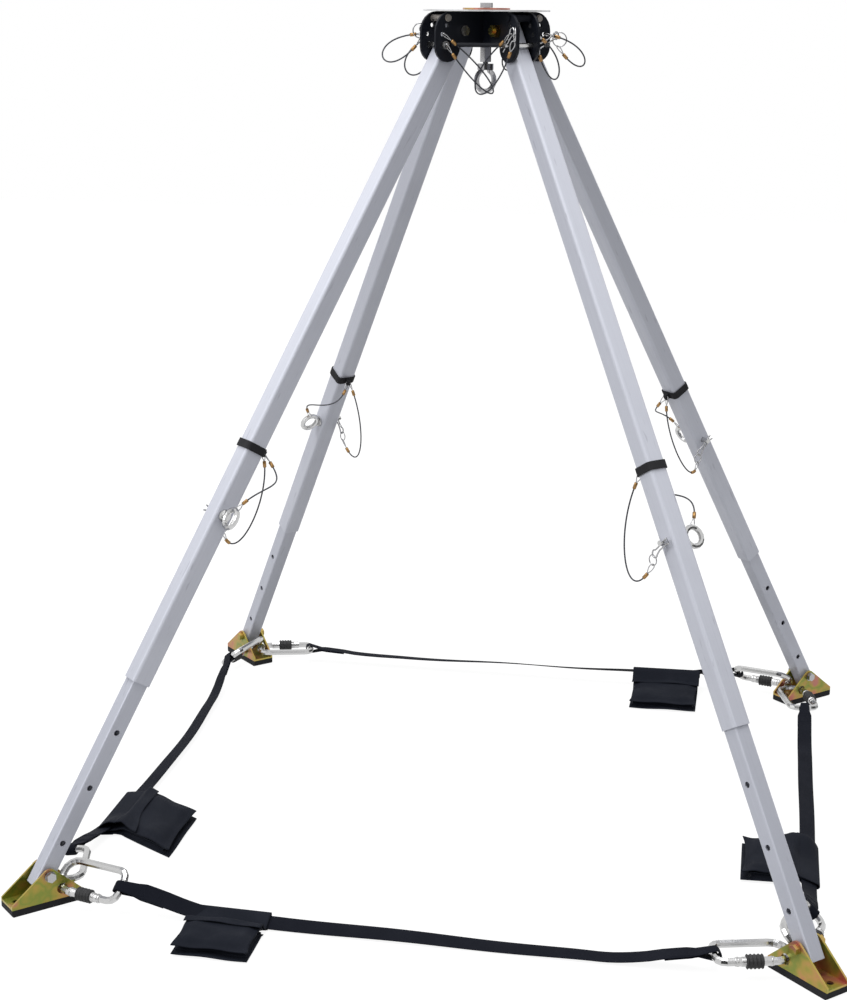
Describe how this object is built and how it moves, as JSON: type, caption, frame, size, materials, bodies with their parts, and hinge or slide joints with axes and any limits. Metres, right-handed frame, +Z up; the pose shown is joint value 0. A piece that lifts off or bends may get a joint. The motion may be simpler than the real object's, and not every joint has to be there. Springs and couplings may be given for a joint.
{
  "type": "rescue quadpod",
  "caption": "Four-legged rescue frame with a plate head, telescoping square legs, hinged padded feet, strap ties and a swivel eye.",
  "frame": {"origin": "on the ground under the middle of the object's outline (the head's axis is 36.3 mm further along +Y)", "axes": "+Z up, +X to the right along the front strap, +Y from the front strap to the back strap"},
  "size_m": [1.1714, 1.244, 1.245],
  "materials": {
    "anodised_aluminium": "satin anodised",
    "plain_aluminium": "satin",
    "black_coat": "satin powder coat",
    "pale_paint": "smooth paint",
    "yellow_chromate": "yellow zinc chromate",
    "bright_steel": "bright zinc",
    "black_rubber": "matt",
    "black_webbing": "woven",
    "black_fabric": "woven, coated"
  },
  "bodies": {
    "head": {"head_frame": "black_coat", "top_plate": "pale_paint", "top_washer": "yellow_chromate", "centre_bolt": "bright_steel", "pivot_bolt_fl": "bright_steel", "pivot_bolt_fr": "bright_steel", "pivot_bolt_br": "bright_steel", "pivot_bolt_bl": "bright_steel"},
    "swivel": {"swivel_eye": "bright_steel"},
    "upper_leg_fl": {"upper_tube_fl": "anodised_aluminium", "band_fl": "black_rubber"},
    "lower_leg_fl": {"lower_tube_fl": "plain_aluminium", "ankle_bolt_fl": "yellow_chromate"},
    "foot_fl": {"foot_bracket_fl": "yellow_chromate", "foot_pad_fl": "black_rubber", "carabiner_a_fl": "bright_steel", "carabiner_b_fl": "bright_steel", "strap_front": "black_webbing", "pouch_front": "black_fabric"},
    "lock_pin_fl": {"lock_pin_fl": "bright_steel"},
    "eye_pin_fl": {"eye_pin_fl": "bright_steel"},
    "upper_leg_fr": {"upper_tube_fr": "anodised_aluminium", "band_fr": "black_rubber"},
    "lower_leg_fr": {"lower_tube_fr": "plain_aluminium", "ankle_bolt_fr": "yellow_chromate"},
    "foot_fr": {"foot_bracket_fr": "yellow_chromate", "foot_pad_fr": "black_rubber", "carabiner_a_fr": "bright_steel", "carabiner_b_fr": "bright_steel", "strap_right": "black_webbing", "pouch_right": "black_fabric"},
    "lock_pin_fr": {"lock_pin_fr": "bright_steel"},
    "eye_pin_fr": {"eye_pin_fr": "bright_steel"},
    "upper_leg_br": {"upper_tube_br": "anodised_aluminium", "band_br": "black_rubber"},
    "lower_leg_br": {"lower_tube_br": "plain_aluminium", "ankle_bolt_br": "yellow_chromate"},
    "foot_br": {"foot_bracket_br": "yellow_chromate", "foot_pad_br": "black_rubber", "carabiner_a_br": "bright_steel", "carabiner_b_br": "bright_steel", "strap_back": "black_webbing", "pouch_back": "black_fabric"},
    "lock_pin_br": {"lock_pin_br": "bright_steel"},
    "eye_pin_br": {"eye_pin_br": "bright_steel"},
    "upper_leg_bl": {"upper_tube_bl": "anodised_aluminium", "band_bl": "black_rubber"},
    "lower_leg_bl": {"lower_tube_bl": "plain_aluminium", "ankle_bolt_bl": "yellow_chromate"},
    "foot_bl": {"foot_bracket_bl": "yellow_chromate", "foot_pad_bl": "black_rubber", "carabiner_a_bl": "bright_steel", "carabiner_b_bl": "bright_steel", "strap_left": "black_webbing", "pouch_left": "black_fabric"},
    "lock_pin_bl": {"lock_pin_bl": "bright_steel"},
    "eye_pin_bl": {"eye_pin_bl": "bright_steel"}
  },
  "joints": [
    {"name": "swivel_eye_turn", "type": "hinge", "parent": "head", "child": "swivel", "pos_m": [0, 0.03626, 1.15468], "axis": [0, 0, 1], "continuous": true},
    {"name": "leg_fold_fl", "type": "hinge", "parent": "head", "child": "upper_leg_fl", "pos_m": [-0.03889, -0.00263, 1.20518], "axis": [0.7071, -0.7071, 0], "range_deg": [0, 22], "deforming": ["strap_front", "pouch_front"]},
    {"name": "leg_slide_fl", "type": "slide", "parent": "upper_leg_fl", "child": "lower_leg_fl", "axis": [0.3642, 0.3642, 0.8572], "range_m": [-0.258, 0.258]},
    {"name": "foot_tilt_fl", "type": "hinge", "parent": "lower_leg_fl", "child": "foot_fl", "pos_m": [-0.53054, -0.49428, 0.048], "axis": [0.7071, -0.7071, 0], "range_deg": [-20, 20]},
    {"name": "lock_pin_pull_fl", "type": "slide", "parent": "head", "child": "lock_pin_fl", "axis": [0.7071, -0.7071, 0], "range_m": [0, 0.06]},
    {"name": "eye_pin_pull_fl", "type": "slide", "parent": "upper_leg_fl", "child": "eye_pin_fl", "axis": [0.7071, -0.7071, 0], "range_m": [0, 0.055]},
    {"name": "leg_fold_fr", "type": "hinge", "parent": "head", "child": "upper_leg_fr", "pos_m": [0.03889, -0.00263, 1.20518], "axis": [0.7071, 0.7071, 0], "range_deg": [0, 22], "deforming": ["strap_right", "pouch_right"]},
    {"name": "leg_slide_fr", "type": "slide", "parent": "upper_leg_fr", "child": "lower_leg_fr", "axis": [-0.3642, 0.3642, 0.8572], "range_m": [-0.258, 0.258]},
    {"name": "foot_tilt_fr", "type": "hinge", "parent": "lower_leg_fr", "child": "foot_fr", "pos_m": [0.53054, -0.49428, 0.048], "axis": [0.7071, 0.7071, 0], "range_deg": [-20, 20]},
    {"name": "lock_pin_pull_fr", "type": "slide", "parent": "head", "child": "lock_pin_fr", "axis": [0.7071, 0.7071, 0], "range_m": [0, 0.06]},
    {"name": "eye_pin_pull_fr", "type": "slide", "parent": "upper_leg_fr", "child": "eye_pin_fr", "axis": [0.7071, 0.7071, 0], "range_m": [0, 0.055]},
    {"name": "leg_fold_br", "type": "hinge", "parent": "head", "child": "upper_leg_br", "pos_m": [0.03889, 0.07515, 1.20518], "axis": [-0.7071, 0.7071, 0], "range_deg": [0, 22], "deforming": ["strap_back", "pouch_back"]},
    {"name": "leg_slide_br", "type": "slide", "parent": "upper_leg_br", "child": "lower_leg_br", "axis": [-0.3642, -0.3642, 0.8572], "range_m": [-0.258, 0.258]},
    {"name": "foot_tilt_br", "type": "hinge", "parent": "lower_leg_br", "child": "foot_br", "pos_m": [0.53054, 0.56681, 0.048], "axis": [-0.7071, 0.7071, 0], "range_deg": [-20, 20]},
    {"name": "lock_pin_pull_br", "type": "slide", "parent": "head", "child": "lock_pin_br", "axis": [-0.7071, 0.7071, 0], "range_m": [0, 0.06]},
    {"name": "eye_pin_pull_br", "type": "slide", "parent": "upper_leg_br", "child": "eye_pin_br", "axis": [-0.7071, 0.7071, 0], "range_m": [0, 0.055]},
    {"name": "leg_fold_bl", "type": "hinge", "parent": "head", "child": "upper_leg_bl", "pos_m": [-0.03889, 0.07515, 1.20518], "axis": [-0.7071, -0.7071, 0], "range_deg": [0, 22], "deforming": ["strap_left", "pouch_left"]},
    {"name": "leg_slide_bl", "type": "slide", "parent": "upper_leg_bl", "child": "lower_leg_bl", "axis": [0.3642, -0.3642, 0.8572], "range_m": [-0.258, 0.258]},
    {"name": "foot_tilt_bl", "type": "hinge", "parent": "lower_leg_bl", "child": "foot_bl", "pos_m": [-0.53054, 0.56681, 0.048], "axis": [-0.7071, -0.7071, 0], "range_deg": [-20, 20]},
    {"name": "lock_pin_pull_bl", "type": "slide", "parent": "head", "child": "lock_pin_bl", "axis": [-0.7071, -0.7071, 0], "range_m": [0, 0.06]},
    {"name": "eye_pin_pull_bl", "type": "slide", "parent": "upper_leg_bl", "child": "eye_pin_bl", "axis": [-0.7071, -0.7071, 0], "range_m": [0, 0.055]}
  ]
}
